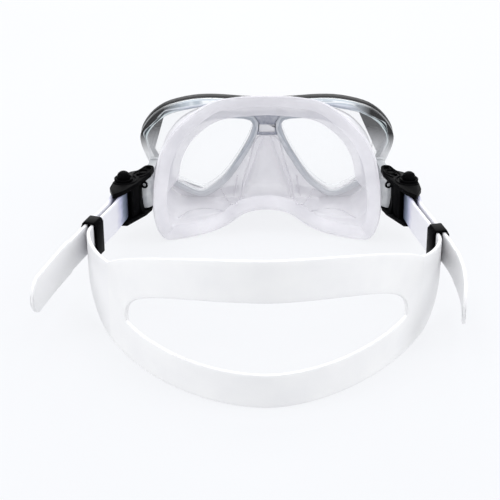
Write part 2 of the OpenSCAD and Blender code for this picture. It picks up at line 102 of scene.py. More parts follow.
def perMm(size):
    return 1 / (size * mm)      # noise scale for a feature of this many millimetres


# materials

def clearSkin(name, light, dark, facing, edge, rough, grain, mottle, paintedGlow=0.0):
    # clear silicone or plastic: see-through face on, denser where it is seen edge on
    material, tree = newMaterial(name)
    where = addNode(tree, "ShaderNodeTexCoord")
    cloud = addNode(tree, "ShaderNodeTexNoise", {"Scale": perMm(mottle), "Detail": 3.0},
                    {"Vector": (where, "Object")})
    tint = stops(addNode(tree, "ShaderNodeValToRGB", None, {"Fac": (cloud, "Fac")}),
                 [(0.3, dark), (0.7, light)])
    fine = addNode(tree, "ShaderNodeTexNoise", {"Scale": perMm(grain), "Detail": 2.0},
                   {"Vector": (where, "Object")})
    bump = addNode(tree, "ShaderNodeBump", {"Strength": 0.08, "Distance": 0.0002},
                   {"Height": (fine, "Fac")})
    rim = addNode(tree, "ShaderNodeLayerWeight", {"Blend": 0.35}, {"Normal": (bump, 0)})
    dense = addNode(tree, "ShaderNodeMapRange", {3: facing, 4: edge}, {"Value": (rim, "Facing")})
    # paintedGlow is an emission in the tint's colour: a painted glow that stands in for light scattered
    # through the silicone
    body = addNode(tree, "ShaderNodeBsdfPrincipled",
                   {"Roughness": rough, "IOR": 1.43, "Emission Strength": paintedGlow},
                   {"Base Color": (tint, 0), "Alpha": (dense, 0), "Normal": (bump, 0),
                    "Emission Color": (tint, 0)})
    closeMaterial(tree, body)
    return material


def moulded(name, base, worn, rough, grain, shine):
    # opaque moulded plastic with a fine eroded grain
    material, tree = newMaterial(name)
    where = addNode(tree, "ShaderNodeTexCoord")
    cloud = addNode(tree, "ShaderNodeTexNoise", {"Scale": perMm(9), "Detail": 4.0},
                    {"Vector": (where, "Object")})
    tint = stops(addNode(tree, "ShaderNodeValToRGB", None, {"Fac": (cloud, "Fac")}),
                 [(0.35, base), (0.75, worn)])
    gloss = addNode(tree, "ShaderNodeMapRange", {3: rough, 4: rough + 0.12}, {"Value": (cloud, "Fac")})
    fine = addNode(tree, "ShaderNodeTexNoise", {"Scale": perMm(grain), "Detail": 2.0},
                   {"Vector": (where, "Object")})
    bump = addNode(tree, "ShaderNodeBump", {"Strength": 0.12, "Distance": 0.0001},
                   {"Height": (fine, "Fac")})
    body = addNode(tree, "ShaderNodeBsdfPrincipled",
                   {"IOR": 1.5, "Specular IOR Level": shine},
                   {"Base Color": (tint, 0), "Roughness": (gloss, 0), "Normal": (bump, 0)})
    closeMaterial(tree, body)
    return material


def steel(name, base, rough):
    material, tree = newMaterial(name)
    where = addNode(tree, "ShaderNodeTexCoord")
    stretch = addNode(tree, "ShaderNodeMapping", {"Scale": (1, 1, 0.08)}, {"Vector": (where, "Object")})
    lines = addNode(tree, "ShaderNodeTexNoise", {"Scale": perMm(0.4), "Detail": 3.0},
                    {"Vector": (stretch, 0)})
    gloss = addNode(tree, "ShaderNodeMapRange", {3: rough, 4: rough + 0.15}, {"Value": (lines, "Fac")})
    tint = stops(addNode(tree, "ShaderNodeValToRGB", None, {"Fac": (lines, "Fac")}),
                 [(0.2, base), (0.8, "#d8d8da")])
    body = addNode(tree, "ShaderNodeBsdfPrincipled", {"Metallic": 1.0},
                   {"Base Color": (tint, 0), "Roughness": (gloss, 0)})
    closeMaterial(tree, body)
    return material


def banded(name, paintedBands, plain, fade, ring, clearAlpha, rough, across=20.0, corner=None):
    # clear plastic with painted highlight and shade lines that run along its edge: UV x along, UV y across,
    # in units of 100 mm
    material, tree = newMaterial(name)
    where = addNode(tree, "ShaderNodeTexCoord")
    strip = addNode(tree, "ShaderNodeSeparateXYZ", None, {"Vector": (where, "UV")})
    spot = addNode(tree, "ShaderNodeSeparateXYZ", None, {"Vector": (where, "Object")})
    stretch = addNode(tree, "ShaderNodeMapping", {"Scale": (5.0, 95.0, 1.0)}, {"Vector": (where, "UV")})
    streak = addNode(tree, "ShaderNodeTexNoise", {"Scale": 1.0, "Detail": 3.0}, {"Vector": (stretch, 0)})
    wobble = addNode(tree, "ShaderNodeMapRange", {1: 0.3, 2: 0.7, 3: -0.7 / across, 4: 0.7 / across},
                     {"Value": (streak, "Fac")})
    place = addNode(tree, "ShaderNodeMath", {"operation": "MULTIPLY_ADD", 1: 100 / across},
                    {0: (strip, "Y"), 2: (wobble, 0)})
    lines = stops(addNode(tree, "ShaderNodeValToRGB", None, {"Fac": (place, 0)}),
                  [(p / across, c) for p, c in paintedBands])
    bent = stops(addNode(tree, "ShaderNodeValToRGB", None, {"Fac": (place, 0)}),
                 [(p / across, c) for p, c in corner or paintedBands])
    outward = addNode(tree, "ShaderNodeMath", {"operation": "ABSOLUTE"}, {0: (spot, "X")})
    turn = addNode(tree, "ShaderNodeMapRange", {1: 0.054, 2: 0.07}, {"Value": (outward, 0)})
    edge = addNode(tree, "ShaderNodeMix", {"data_type": "RGBA"},
                   {"Factor": (turn, 0), 6: (lines, 0), 7: (bent, 0)})
    soft = stops(addNode(tree, "ShaderNodeValToRGB", None, {"Fac": (streak, "Fac")}), plain)
    # the painted highlight and shade lines show only above the fade heights, in mm; lower down is the plain
    # streaked tint
    high = addNode(tree, "ShaderNodeMapRange", {1: fade[0] * mm, 2: fade[1] * mm}, {"Value": (spot, "Z")})
    tint = addNode(tree, "ShaderNodeMix", {"data_type": "RGBA"},
                   {"Factor": (high, 0), 6: (soft, 0), 7: (edge, 2)})
    # distance in from the edge: across less the depth already counted
    depth = addNode(tree, "ShaderNodeMath", {"operation": "MULTIPLY_ADD", 1: 1000.0, 2: -ring["front"]},
                    {0: (spot, "Y")})
    inset = addNode(tree, "ShaderNodeMath", {"operation": "MULTIPLY_ADD", 1: 100.0},
                    {0: (strip, "Y"), 2: (depth, 0)})
    inner = addNode(tree, "ShaderNodeMath", {"operation": "GREATER_THAN", 1: ring["wide"]}, {0: (inset, 0)})
    colour = addNode(tree, "ShaderNodeMix", {"data_type": "RGBA", 7: linear("#e9edf0")},
                     {"Factor": (inner, 0), 6: (tint, 2)})
    rim = addNode(tree, "ShaderNodeLayerWeight", {"Blend": 0.3})
    thin = addNode(tree, "ShaderNodeMapRange", {3: clearAlpha, 4: 0.5}, {"Value": (rim, "Facing")})
    dense = addNode(tree, "ShaderNodeMix", {2: ring["alpha"]}, {"Factor": (inner, 0), 3: (thin, 0)})
    gloss = addNode(tree, "ShaderNodeMapRange", {3: rough, 4: rough + 0.12}, {"Value": (streak, "Fac")})
    body = addNode(tree, "ShaderNodeBsdfPrincipled", {"IOR": 1.5},
                   {"Base Color": (colour, 2), "Alpha": (dense, 0), "Roughness": (gloss, 0)})
    closeMaterial(tree, body)
    return material


def shadedStrap(name, reach, across):
    # silicone with painted shade laid out by place: near black where it runs into the buckle's shade, blue
    # and grey where the black parts behind it show through; reach is rearward, in mm
    material, tree = newMaterial(name)
    where = addNode(tree, "ShaderNodeTexCoord")
    strip = addNode(tree, "ShaderNodeSeparateXYZ", None, {"Vector": (where, "UV")})
    cloud = addNode(tree, "ShaderNodeTexNoise", {"Scale": perMm(5), "Detail": 3.0},
                    {"Vector": (where, "Object")})
    wobble = addNode(tree, "ShaderNodeMapRange", {3: -0.04, 4: 0.04}, {"Value": (cloud, "Fac")})
    place = addNode(tree, "ShaderNodeMath", {"operation": "MULTIPLY_ADD", 1: 100 / across},
                    {0: (strip, "X"), 2: (wobble, 0)})
    tint = stops(addNode(tree, "ShaderNodeValToRGB", None, {"Fac": (place, 0)}),
                 [(p / across, c) for p, c in reach])
    fine = addNode(tree, "ShaderNodeTexNoise", {"Scale": perMm(0.6), "Detail": 2.0},
                   {"Vector": (where, "Object")})
    bump = addNode(tree, "ShaderNodeBump", {"Strength": 0.08, "Distance": 0.0002},
                   {"Height": (fine, "Fac")})
    rim = addNode(tree, "ShaderNodeLayerWeight", {"Blend": 0.35}, {"Normal": (bump, 0)})
    dense = addNode(tree, "ShaderNodeMapRange", {3: 0.88, 4: 1.0}, {"Value": (rim, "Facing")})
    body = addNode(tree, "ShaderNodeBsdfPrincipled", {"Roughness": 0.36, "IOR": 1.43},
                   {"Base Color": (tint, 0), "Alpha": (dense, 0), "Normal": (bump, 0)})
    closeMaterial(tree, body)
    return material


# clear liquid silicone, moulded: a grey haze that thickens at folds and edges, and a painted glow (a weak
# emission in its own tint) that stands in for light scattered through it
clearSilicone = clearSkin("clearSilicone", "#dbdade", "#cdccd1", 0.46, 0.94, 0.34, 0.5, 16, 0.2)
# filled silicone, moulded: soft even white, barely see-through
milkySilicone = clearSkin("milkySilicone", "#ececec", "#e7e7e8", 0.9, 1.0, 0.4, 0.6, 22)
# the same silicone near the buckles, with painted shade: near black inside the buckle, and painted blue and
# grey where the black parts behind it show through
strapShadedSilicone = shadedStrap(
    "strapShadedSilicone",
    [(0, "#0d0f11"), (20.5, "#101412"), (23.4, "#464b5e"), (27.4, "#5f697d"), (30.4, "#737e92"),
     (33.4, "#979cb4"), (36.4, "#babdd7"), (40, "#cdcddc"), (44, "#e1e1e8"), (74, "#e6e6ea"),
     (100, "#e9e9ea")],
    100.0)
# clear polycarbonate, moulded: painted highlight and shade lines along its steps, dark where the trim backs
# it
framePlastic = banded(
    "framePlastic",
    [(0, "#1c1d20"), (8, "#26282b"), (9, "#4a4e53"), (9.7, "#e8ecee"), (10.4, "#8d98a1"), (12.4, "#9ba6af"),
     (13.8, "#aab3bb"), (14.2, "#eef1f2"), (15.2, "#b9c3cc"), (16.4, "#d9dde6"), (17.6, "#8a93a0"),
     (18.6, "#c8ccd4")],
    [(0.3, "#d3d4d6"), (0.7, "#ececed")], (40, 54), {"front": 9.0, "wide": 4.7, "alpha": 0.92}, 0.04, 0.16,
    corner=[(0, "#0b0c0e"), (9, "#0b0c0e"), (10, "#101214"), (13.9, "#0e0f11"), (15.5, "#0c0d0f"),
            (15.8, "#dfe6e9"), (16.15, "#23282c"), (17, "#3c444a"), (17.5, "#c3cfd0"), (18.4, "#dbe3e4"),
            (18.8, "#6b757e"), (19.4, "#aab1ba")])
# smoke polycarbonate, moulded: grey with lighter painted highlight lines round each lens
rimPlastic = banded(
    "rimPlastic",
    [(0, "#a9aeb5"), (3, "#868d96"), (4.2, "#d2d5d8"), (5.2, "#8e959e"), (6.2, "#c6cad0"), (8.2, "#a5acb6"),
     (9.4, "#d6d9de"), (10.5, "#858c96")],
    [(0.3, "#cfd2d6"), (0.7, "#e4e6e8")], (14, 34), {"front": 0.0, "wide": 90.0, "alpha": 0.88}, 0.05, 0.18,
    across=12.0)
# polycarbonate with a spark-eroded grain: pale frost
frostedPlastic = clearSkin("frostedPlastic", "#e2e4e5", "#c6c9cd", 0.62, 0.92, 0.2, 0.8, 6)
# smoke polycarbonate of the bridge clip: clouded purple grey
smokePlastic = clearSkin("smokePlastic", "#b9bcc6", "#8c90a2", 0.62, 0.92, 0.2, 0.5, 3)
# tempered glass: all but invisible face on
lensGlass = clearSkin("lensGlass", "#f4f8f8", "#eef4f4", 0.03, 0.3, 0.03, 2.0, 30)
# glass-filled nylon: deep black with a weak soft shine
blackNylon = moulded("blackNylon", "#030304", "#070708", 0.34, 0.25, 0.02)
# ABS trim: black with a smoother shine that turns its top grey
blackTrim = moulded("blackTrim", "#050506", "#09090b", 0.3, 0.3, 0.05)
# acetal: charcoal, a little waxy
greyAcetal = moulded("greyAcetal", "#0b0c0e", "#141518", 0.36, 0.3, 0.1)
# drawn stainless wire and turned screws: fine lines along them
stainless = steel("stainless", "#8d8d90", 0.24)
print("materials made")


def finishPiece(obj, material, body, replaced=(), angle=35):
    # shades, paints and hands a finished piece to its body
    pick(obj)
    bpy.ops.object.shade_smooth_by_angle(angle=math.radians(angle))
    obj.data.materials.clear()
    obj.data.materials.append(material)
    if body:
        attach(obj, body)
    if replaced:
        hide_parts(*replaced)
    return obj


def softCopy(node, name, width, steps=2, limit=40):
    # a copy of a CAD node with merged faces and rounded edges
    source = nodes[node]
    obj = bpy.data.objects.new(name, source.data.copy())
    bpy.context.scene.collection.objects.link(obj)
    for key in list(obj.keys()):
        del obj[key]
    pick(obj)
    bpy.ops.object.mode_set(mode="EDIT")
    bpy.ops.mesh.select_all(action="SELECT")
    bpy.ops.mesh.remove_doubles(threshold=0.00001)
    bpy.ops.mesh.dissolve_limited(angle_limit=math.radians(1))
    bpy.ops.object.mode_set(mode="OBJECT")
    if width:
        bevel = obj.modifiers.new("round", "BEVEL")
        bevel.width = width * mm
        bevel.segments = steps
        bevel.limit_method = "ANGLE"
        bevel.angle_limit = math.radians(limit)
        bevel.use_clamp_overlap = True
        bpy.ops.object.modifier_apply(modifier=bevel.name)
    return obj


def loftRings(name, rings, closed=False):
    # rings of points, one after another: a circle primitive is extruded from ring to ring
    deselectAll()
    bpy.ops.mesh.primitive_circle_add(vertices=len(rings[0]), radius=0.01, fill_type="NOTHING")
    obj = bpy.context.object
    obj.name = name
    bpy.ops.object.mode_set(mode="EDIT")
    mesh = bmesh.from_edit_mesh(obj.data)
    mesh.verts.ensure_lookup_table()
    first = list(mesh.verts)
    current = [v.index for v in first]
    for v, p in zip(first, rings[0]):
        v.co = Vector(p)
    firstIds = list(current)
    for ring in rings[1:]:
        bpy.ops.mesh.extrude_region_move()
        mesh = bmesh.from_edit_mesh(obj.data)
        mesh.verts.ensure_lookup_table()
        mesh.verts.index_update()
        follow = []
        known = set(current)
        for i in current:
            grown = [e.other_vert(mesh.verts[i]) for e in mesh.verts[i].link_edges]
            follow.append(next(v.index for v in grown if v.select and v.index not in known))
        for i, p in zip(follow, ring):
            mesh.verts[i].co = Vector(p)
        current = follow
    mesh = bmesh.from_edit_mesh(obj.data)
    mesh.verts.ensure_lookup_table()
    if closed:
        bpy.ops.mesh.select_all(action="DESELECT")
        bpy.ops.mesh.select_mode(type="VERT")
        mesh = bmesh.from_edit_mesh(obj.data)
        mesh.verts.ensure_lookup_table()
        n = len(current)
        for k in range(n):
            a, b = firstIds[k], firstIds[(k + 1) % n]
            c, d = current[(k + 1) % n], current[k]
            mesh.faces.new([mesh.verts[i] for i in (a, b, c, d)])
    else:
        mesh.faces.new([mesh.verts[i] for i in firstIds])
        mesh.faces.new([mesh.verts[i] for i in current])
    bmesh.update_edit_mesh(obj.data)
    bpy.ops.mesh.select_all(action="SELECT")
    bpy.ops.mesh.normals_make_consistent(inside=False)
    bpy.ops.object.mode_set(mode="OBJECT")
    return obj


def tube(name, path, radius, closed=False, facets=8):
    rings, count = [], len(path)
    for i, p in enumerate(path):
        after = path[(i + 1) % count] if closed else path[min(i + 1, count - 1)]
        before = path[i - 1] if closed else path[max(i - 1, 0)]
        ahead = (after - before).normalized()
        aside = ahead.cross(Vector((0, 0, 1)))
        aside = aside.normalized() if aside.length > 0.05 else ahead.cross(Vector((0, 1, 0))).normalized()
        over = aside.cross(ahead)
        rings.append([tuple((p + (aside * math.cos(t) + over * math.sin(t)) * radius) * mm)
                      for t in (2 * math.pi * k / facets for k in range(facets))])
    return loftRings(name, rings, closed)


def joined(obj, extras):
    deselectAll()
    for extra in extras:
        extra.select_set(True)
    obj.select_set(True)
    bpy.context.view_layer.objects.active = obj
    bpy.ops.object.join()
    return obj


# outlines that several pieces share

def onCurve(a, b, c, d, s):
    # between b and c, with a before them and d after
    square, cube = 2 * a - 5 * b + 4 * c - d, 3 * b - a - 3 * c + d
    return 0.5 * (2 * b + (c - a) * s + square * s ** 2 + cube * s ** 3)


def smoothLoop(points, steps):
    # a closed curve through the points, with this many steps between two of them
    made = []
    for i in range(len(points)):
        a, b, c, d = (Vector(points[(i + k) % len(points)]) for k in (-1, 0, 1, 2))
        for k in range(steps):
            made.append(onCurve(a, b, c, d, k / steps))
    return made


def wholeOutline(half, width, height):
    points = [(x * width / 2, z * height) for x, z in half]
    return points + [(-x, z) for x, z in reversed(points) if x > 0.01]


def inwardNormals(loop, window):
    count = len(loop)
    made = []
    for i in range(count):
        along = loop[(i + window) % count] - loop[i - window]
        made.append(Vector((along.y, -along.x)).normalized())
    return made


def prism(name, outline, y0, y1):
    # an outline in x and z, in millimetres, made solid from y0 to y1
    return loftRings(name, [[(p[0] * mm, y * mm, p[1] * mm) for p in outline] for y in (y0, y1)])


def combine(obj, other, how):
    pick(obj)
    cut = obj.modifiers.new("cut", "BOOLEAN")
    cut.operation = how
    cut.object = other
    cut.solver = "EXACT"
    bpy.ops.object.modifier_apply(modifier=cut.name)
    bpy.data.objects.remove(other)
    return obj


def ease(s):
    s = min(1, max(0, s))
    return s * s * (3 - 2 * s)


def mix(a, b, s):
    return a + (b - a) * s


def flipped(loop):
    return [Vector((-p[0], p[1])) for p in reversed(loop)]


def curveThrough(points, steps):
    made = []
    for i in range(len(points) - 1):
        a, b, c, d = points[max(0, i - 1)], points[i], points[i + 1], points[min(len(points) - 1, i + 2)]
        for k in range(steps):
            made.append(onCurve(a, b, c, d, k / steps))
    return made + [points[-1]]


# frame, lenses and rims

frameShape = [(0, 0.97), (0.2, 0.983), (0.41, 1), (0.585, 0.991), (0.765, 0.943), (0.87, 0.878),
              (0.942, 0.798), (0.99, 0.71), (1, 0.64), (0.975, 0.53), (0.9, 0.347), (0.79, 0.156),
              (0.66, 0.026), (0.525, 0), (0.4, 0.03), (0.28, 0.06), (0.14, 0.08), (0, 0.08)]
lensShape = [(0, 0.97), (0.31, 1), (0.59, 0.945), (0.8, 0.79), (0.93, 0.555), (1, 0.225), (0.865, 0.1),
             (0.65, 0), (0.5, 0.055), (0.32, 0.225), (0.135, 0.515), (0, 0.79)]
lens = {"w": 54.2, "h": 53.4, "x": 11.2, "z": 10.6}
frameLoop = smoothLoop(wholeOutline(frameShape, 172, 77.6), 3)
lensLoop = smoothLoop([(lens["x"] + x * lens["w"], lens["z"] + z * lens["h"]) for x, z in lensShape], 5)


def edgeUv(obj, loop, front):
    # UV x: way along the outline from its top, either side; UV y: way across, back from the front and then in
    mesh = obj.data
    while mesh.uv_layers:
        mesh.uv_layers.remove(mesh.uv_layers[0])
    layer = mesh.uv_layers.new(name="UVMap")
    start = max(range(len(loop)), key=lambda i: loop[i].y - abs(loop[i].x) * 0.01)
    ring = loop[start:] + loop[:start]
    pieces, gone = [], 0
    for a, b in zip(ring, ring[1:] + ring[:1]):
        size = (b - a).length
        pieces.append((a, b - a, size, gone))
        gone += size
    place = []
    for v in mesh.vertices:
        p = Vector((v.co.x / mm, v.co.z / mm))
        best = (1e9, 0)
        for a, way, size, before in pieces:
            t = min(1, max(0, (p - a).dot(way) / (size * size)))
            best = min(best, ((p - a - way * t).length, before + t * size))
        along = min(best[1], gone - best[1])
        place.append((along / 100, (front - v.co.y / mm + best[0]) / 100))
    for face in mesh.loops:
        layer.data[face.index].uv = place[face.vertex_index]


hardParts = {
    "frame": ("mask", framePlastic, 0.5, "clear_polycarbonate"),
    "bridge_clip": ("mask", smokePlastic, 0.4, "smoke_plastic"),
    "lens_rim_left": ("mask", rimPlastic, 0.6, "smoke_plastic"),
    "lens_rim_right": ("mask", rimPlastic, 0.6, "smoke_plastic"),
    "brow_trim_left": ("mask", blackTrim, 0.4, "black_plastic"),
    "brow_trim_right": ("mask", blackTrim, 0.4, "black_plastic"),
    "lens_left": ("mask", lensGlass, 0.3, "lens_glass"),
    "lens_right": ("mask", lensGlass, 0.3, "lens_glass"),
    "bracket_left": ("mask", frostedPlastic, 0.4, "clear_polycarbonate"),
    "bracket_right": ("mask", frostedPlastic, 0.4, "clear_polycarbonate"),
}
edgeLoops = {
    "frame": (frameLoop, 9),
    "lens_rim_left": (flipped(lensLoop), 3),
    "lens_rim_right": (lensLoop, 3),
}
for node, (body, material, width, slotName) in hardParts.items():
    shell = softCopy(node, node.replace("_", "-") + "-shell", width)
    if node in edgeLoops:
        edgeUv(shell, *edgeLoops[node])
    finishPiece(shell, material, body, [node])

plainParts = {"bracket_screws": stainless}
for side in sides:
    plainParts[f"pivot_pin_{side}"] = blackNylon
    plainParts[f"button_spring_{side}"] = stainless
    plainParts[f"roller_{side}"] = greyAcetal
    plainParts[f"lock_bar_{side}"] = greyAcetal
for node, material in plainParts.items():
    nodes[node].data.materials.clear()
    nodes[node].data.materials.append(material)
    pick(nodes[node])
    bpy.ops.object.shade_smooth_by_angle(angle=math.radians(35))
print("hard parts made")


# skirt

skirt = {
    "flange": [(0, 0.99), (0.28, 1), (0.55, 0.98), (0.775, 0.89), (0.93, 0.72), (1, 0.53), (1, 0.33),
               (0.94, 0.16), (0.87, 0.085), (0.76, 0.045), (0.58, 0.035), (0.39, 0.03), (0.17, 0.027),
               (0, 0.027)],
    "seal": [(0, 1), (0.315, 0.992), (0.53, 0.951), (0.79, 0.798), (0.922, 0.637), (0.97, 0.5), (1, 0.288),
             (0.982, 0.14), (0.925, 0.035), (0.83, 0.002), (0.561, 0.015), (0.362, 0.065), (0.196, 0.15),
             (0, 0.178)],
    "flangeSize": (144, 73), "sealSize": (149, 98), "depth": 50, "sweep": 16, "steps": 4,
    # share of the depth, inwards, forwards, and how far along the inner flap
    "section": [(0, 0, 2.5, 0), (0, 0, 1.2, 0), (0.08, 0, 0, 0), (0.33, -0.3, 0, 0), (0.45, -0.3, 0, 0),
                (0.49, 0.2, 0, 0), (0.53, 0, 0, 0), (0.75, -0.4, 0, 0), (0.93, 0, 0, 0), (0.985, 0.3, 0, 0),
                (1, 1.2, 0, 0), (1, 3, 0.3, 0), (1, 6, 1.4, 0), (1, 8.6, 2.7, 0), (1, 9.2, 3.4, 0),
                (1, 8.6, 4, 0), (1, 5.5, 3.4, 0), (0.96, 2.6, 0, 0), (0.9, 2, 0, 0), (0.7, 1.7, 0, 0),
                (0.64, 2.2, 0, 0.05), (0.61, 2.2, 0, 0.45), (0.59, 2.2, 0, 0.9), (0.57, 2.2, 0, 1),
                (0.55, 2.2, 0, 0.9), (0.55, 2.2, 0, 0.45), (0.53, 2.2, 0, 0.05), (0.45, 1.7, 0, 0),
                (0.2, 1.9, 0, 0), (0.08, 2, 0.4, 0), (0, 2, 1.2, 0), (0, 2, 2.5, 0)],
    "flapTop": 8.5, "flapSide": 12.5,
    "nose": [(0, 1), (0.243, 0.96), (0.47, 0.75), (0.735, 0.48), (0.973, 0.23), (1, 0.1), (0.8, 0.03),
             (0, 0.02)],
    "noseSize": (37, 52), "wall": 2, "flapFoot": 16, "flapRise": 22, "flapFull": 70,
    "tip": {"across": 0.5, "foot": 14, "up": 0.26, "from": 20},
}
flangeLoop = smoothLoop(wholeOutline(skirt["flange"], *skirt["flangeSize"]), skirt["steps"])
sealLoop = smoothLoop(wholeOutline(skirt["seal"], *skirt["sealSize"]), skirt["steps"])
noseLoop = smoothLoop(wholeOutline(skirt["nose"], *skirt["noseSize"]), 4)


def grown(loop, out):
    return [p - n * out for p, n in zip(loop, inwardNormals(loop, 1))]


def skirtRing(share, inward, forward, flap):
    ring = []
    normals = [inwardNormals(flangeLoop, 3), inwardNormals(sealLoop, 3)]
    for i, (a, b) in enumerate(zip(flangeLoop, sealLoop)):
        normal = mix(normals[0][i], normals[1][i], share).normalized()
        spot = mix(a, b, share)
        reach = mix(skirt["flapTop"], skirt["flapSide"], min(1, abs(spot.x) / skirt["flapFull"]))
        reach *= 0.06 + 0.94 * ease((spot.y - skirt["flapFoot"]) / skirt["flapRise"])
        spot = spot + normal * (inward + flap * reach)
        y = forward - share * (skirt["depth"] + skirt["sweep"] * (b.x / (skirt["sealSize"][0] / 2)) ** 2)
        ring.append((spot.x * mm, y * mm, spot.y * mm))
    return ring


def noseRings(shrink, reach):
    rings = [[(p.x * mm, -1.5 * mm * (shrink > 0), p.y * mm) for p in grown(noseLoop, -shrink)]]
    end = skirt["tip"]
    tip = [Vector((end["across"] * p.x, end["foot"] + end["up"] * (p.y - end["from"]))) for p in noseLoop]
    for k in range(9):
        turn = math.radians(90 * k / 8)
        share = 1 - math.cos(turn)
        ring = [mix(a, b, share) for a, b in zip(grown(noseLoop, -shrink), grown(tip, -shrink * 0.6))]
        rings.append([(p.x * mm, (2.5 + (reach - 2.5) * math.sin(turn)) * mm, p.y * mm) for p in ring])
    return rings


skirtShell = loftRings("skirt-wall", [skirtRing(*row) for row in skirt["section"]], closed=True)
flangePlate = prism("flange", grown(flangeLoop, -0.7), 0, 2.5)
combine(flangePlate, loftRings("nose", noseRings(0, 15)), "UNION")
combine(flangePlate, loftRings("noseHollow", noseRings(skirt["wall"], 13)), "DIFFERENCE")
for outline in (lensLoop, flipped(lensLoop)):
    combine(flangePlate, prism("hole", outline, -2, 5), "DIFFERENCE")
combine(skirtShell, flangePlate, "UNION")
skirtShell.name = "face-skirt"

eye = Vector((0, -0.9615, 0.4325))      # where the folds are seen from, so that they land on the inner face
welts = {
    "fold": [(9.5, 42), (10.8, 35.2), (13.8, 25.5), (16.5, 16.5), (17.9, 7.5), (19.2, 1.5), (21, -1.2),
             (23.3, -1.9), (25.6, -1), (27.3, 0.8), (30, 5.3), (32, 9.8)],
    "crease": [(20.4, 20), (21.2, 15), (22.2, 9.5), (23, 4.8)],
    "arch": [(9.5, 42), (8.6, 45), (7, 47.4), (4.5, 49.2), (2.2, 49.9), (0, 50)],
    "lobe": [(24, -9), (33, -6.5), (44, -5), (54, -7), (62, -12)],
}


def landed(points, side):
    made = []
    for x, z in points:
        way = (Vector((side * x * mm, 0.002, z * mm)) - eye).normalized()
        hit, spot = skirtShell.ray_cast(eye, way)[:2]
        if hit:
            made.append(spot / mm)
    return made


extras = []
for side in sides.values():
    for name, points in welts.items():
        path = landed(points, side)
        if len(path) > 3:
            extras.append(tube(name, curveThrough(path, 3), 0.55))
joined(skirtShell, extras)
finishPiece(skirtShell, clearSilicone, "mask", ["skirt", "nose_pocket"], 50)
print("skirt made")


# strap

strap = {
    "pivot": (81.5, -42), "mid": 27.75, "width": 20, "thick": 2.2, "rollerU": 24, "rollerV": 6.7,
    "wrapR": 3.4, "layer": 2.15, "midV": 3.85, "joinU": 46, "grip": 22, "tail": 84, "shoulder": 22,
    "spanA": 109.9, "bandY": -102.6, "depth": 165, "roundLeft": 1.88, "roundRight": 1.75, "cut": 34,
    "slotHalf": 79, "slotMid": 26.3, "slotUp": 37, "slotDown": 6, "top": 88, "cols": 40,
    "topFoot": 20, "topReach": 99.9, "past": 6.5, "edge": 0.7,
}
sideSet = {
    "left": {"sign": -1, "yaw": 18, "keeperU": 75, "bend": 6},
    "right": {"sign": 1, "yaw": 13.5, "keeperU": 84.7, "bend": 24},
}


def planPoint(side, u, v):
    yaw = math.radians(sideSet[side]["yaw"])
    px, py = strap["pivot"]
    x = px + v * math.cos(yaw) + u * math.sin(yaw)
    return Vector((sideSet[side]["sign"] * x, py + v * math.sin(yaw) - u * math.cos(yaw)))


def roundness(x):
    return strap["roundLeft"] if x < 0 else strap["roundRight"]


def bandPlan(t):
    c, s = math.cos(math.radians(t)), math.sin(math.radians(t))
    x = math.copysign(strap["spanA"] * abs(c) ** (2 / roundness(c)), c)
    return Vector((x, strap["bandY"] - strap["depth"] * abs(s) ** (2 / roundness(c))))


def turnAt(x):
    return math.degrees(math.acos(math.copysign((abs(x) / strap["spanA"]) ** (roundness(x) / 2), x)))


def bandTop(x):
    foot = strap["topFoot"]
    return foot + (strap["top"] - foot) * math.sqrt(max(0, 1 - (x / strap["topReach"]) ** 2))


def ribbonPiece(name, columns, openEnds, slotted=False):
    # columns: (plan point, [heights]); a grid primitive is bent to them and given its thickness
    # a slotted ribbon has no faces between its two middle rows
    wide, tall = len(columns), len(columns[0][1])
    deselectAll()
    bpy.ops.mesh.primitive_grid_add(x_subdivisions=wide - 1, y_subdivisions=tall - 1, size=1)
    obj = bpy.context.object
    obj.name = name
    bpy.ops.object.mode_set(mode="EDIT")
    mesh = bmesh.from_edit_mesh(obj.data)
    mesh.verts.ensure_lookup_table()
    place = {}
    for v in mesh.verts:
        i = round((v.co.x + 0.5) * (wide - 1))
        j = round((v.co.y + 0.5) * (tall - 1))
        place[v.index] = (i, j)
    if slotted:
        gone = [f for f in mesh.faces if {place[v.index][1] for v in f.verts} == {tall // 2 - 1, tall // 2}]
        bmesh.ops.delete(mesh, geom=gone, context="FACES_ONLY")
    for v in mesh.verts:
        i, j = place[v.index]
        p, heights = columns[i]
        v.co = Vector((p.x * mm, p.y * mm, heights[j] * mm))
    bmesh.update_edit_mesh(obj.data)
    bpy.ops.mesh.select_all(action="SELECT")
    bpy.ops.mesh.remove_doubles(threshold=0.00002)
    bpy.ops.object.mode_set(mode="OBJECT")
    solid = obj.modifiers.new("thick", "SOLIDIFY")
    solid.thickness = strap["thick"] * mm
    solid.offset = 0
    solid.use_even_offset = False
    bpy.ops.object.modifier_apply(modifier=solid.name)
    mesh = bmesh.new()
    mesh.from_mesh(obj.data)
    bmesh.ops.recalc_face_normals(mesh, faces=mesh.faces)
    weight = mesh.edges.layers.float.new("bevel_weight_edge")
    for e in mesh.edges:
        if len(e.link_faces) == 2 and e.calc_face_angle() > math.radians(55):
            middle = (e.verts[0].co + e.verts[1].co) / 2
            atSeam = any((middle.xy - c * mm).length < 1.6 * mm for c in openEnds)
            e[weight] = 0.0 if atSeam else 1.0
    mesh.to_mesh(obj.data)
    mesh.free()
    pick(obj)
    bevel = obj.modifiers.new("round", "BEVEL")
    bevel.width = strap["edge"] * mm
    bevel.segments = 3
    bevel.limit_method = "WEIGHT"
    bevel.use_clamp_overlap = False
    bpy.ops.object.modifier_apply(modifier=bevel.name)
    return obj


def bezier(a, b, c, d, s):
    return (1 - s) ** 3 * a + 3 * (1 - s) ** 2 * s * b + 3 * (1 - s) * s * s * c + s ** 3 * d


def spread(low, high, rows):
    return [mix(low, high, k / (rows - 1)) for k in range(rows)]


